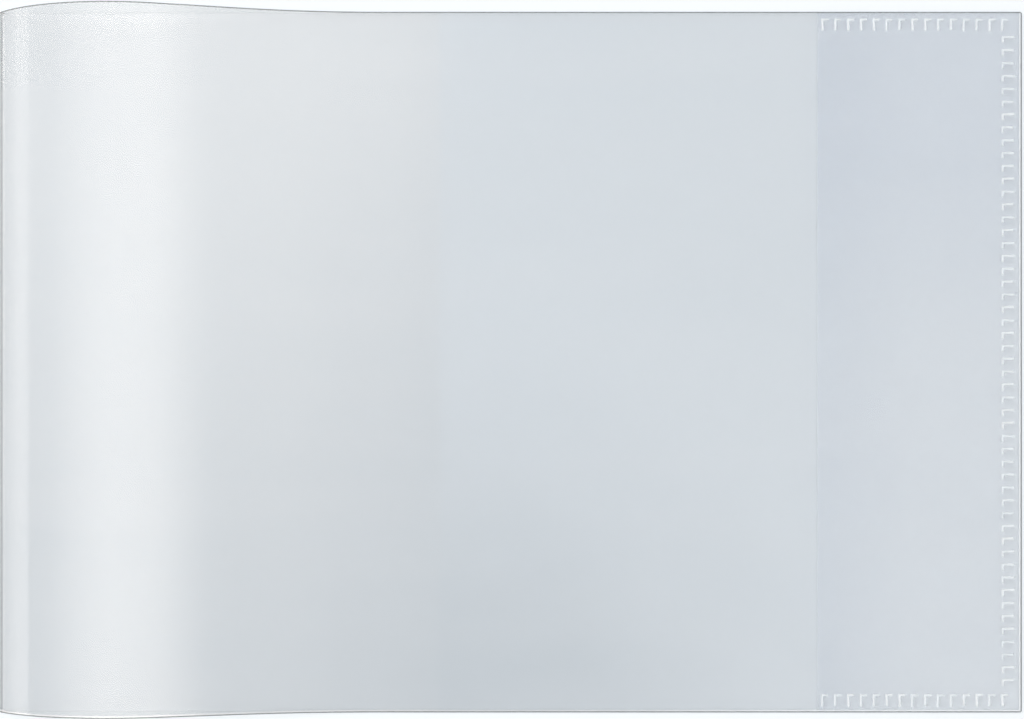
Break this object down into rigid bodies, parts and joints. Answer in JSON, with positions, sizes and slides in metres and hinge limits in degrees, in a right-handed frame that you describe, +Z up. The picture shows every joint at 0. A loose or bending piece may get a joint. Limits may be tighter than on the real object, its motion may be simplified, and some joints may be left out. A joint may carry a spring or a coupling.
{
  "type": "exercise book cover",
  "caption": "Clear film slip-on cover for a landscape exercise book, with a looped spine and a welded flap pocket inside each leaf.",
  "frame": {"origin": "middle of the cover's bounding box, on the surface that the back leaf rests on", "axes": "+X from the spine to the open side, +Y up the page along the crease, +Z up from the table through the closed cover"},
  "size_m": [0.2306, 0.158, 0.0144],
  "materials": {
    "clear_film": "clear soft PVC film, calendered smooth, faintly milky",
    "flap_film": "clear soft PVC film, calendered smooth, faintly milky",
    "weld_seam": "film pressed and fused by the welding bar, whitened at the pad edges"
  },
  "bodies": {
    "back_leaf": {"back_panel": "clear_film", "back_flap": "flap_film", "back_top_weld": "weld_seam", "back_side_weld": "weld_seam", "back_bottom_weld": "weld_seam", "spine_crease": "clear_film"},
    "rise": {"spine_rise_1": "clear_film", "spine_rise_2": "clear_film"},
    "crest": {"spine_rise_3": "clear_film", "spine_crest": "clear_film"},
    "slope": {"spine_slope": "clear_film", "spine_runout_1": "clear_film", "spine_runout_2": "clear_film"},
    "front_leaf": {"front_panel": "clear_film", "front_flap": "flap_film", "front_top_weld": "weld_seam", "front_side_weld": "weld_seam", "front_bottom_weld": "weld_seam"}
  },
  "joints": [
    {"name": "cover_opening", "type": "hinge", "parent": "back_leaf", "child": "rise", "pos_m": [-0.1153, 0, 0.0009], "axis": [0, -1, 0], "range_deg": [0, 138.17]},
    {"name": "film_bend_2", "type": "hinge", "parent": "rise", "child": "crest", "pos_m": [-0.09895, 0, 0.01279], "axis": [0, -1, 0], "range_deg": [0, 42.99]},
    {"name": "film_bend_3", "type": "hinge", "parent": "crest", "child": "slope", "pos_m": [-0.0795, 0, 0.01281], "axis": [0, -1, 0], "range_deg": [0, 14.01]},
    {"name": "film_bend_4", "type": "hinge", "parent": "slope", "child": "front_leaf", "pos_m": [-0.02876, 0, 0.0016], "axis": [0, -1, 0], "range_deg": [-15.16, 0]}
  ],
  "couplings": [
    {"joint": "film_bend_2", "follows": "cover_opening", "ratio": 0.31107},
    {"joint": "film_bend_3", "follows": "cover_opening", "ratio": 0.10132},
    {"joint": "film_bend_4", "follows": "cover_opening", "ratio": -0.10965}
  ]
}
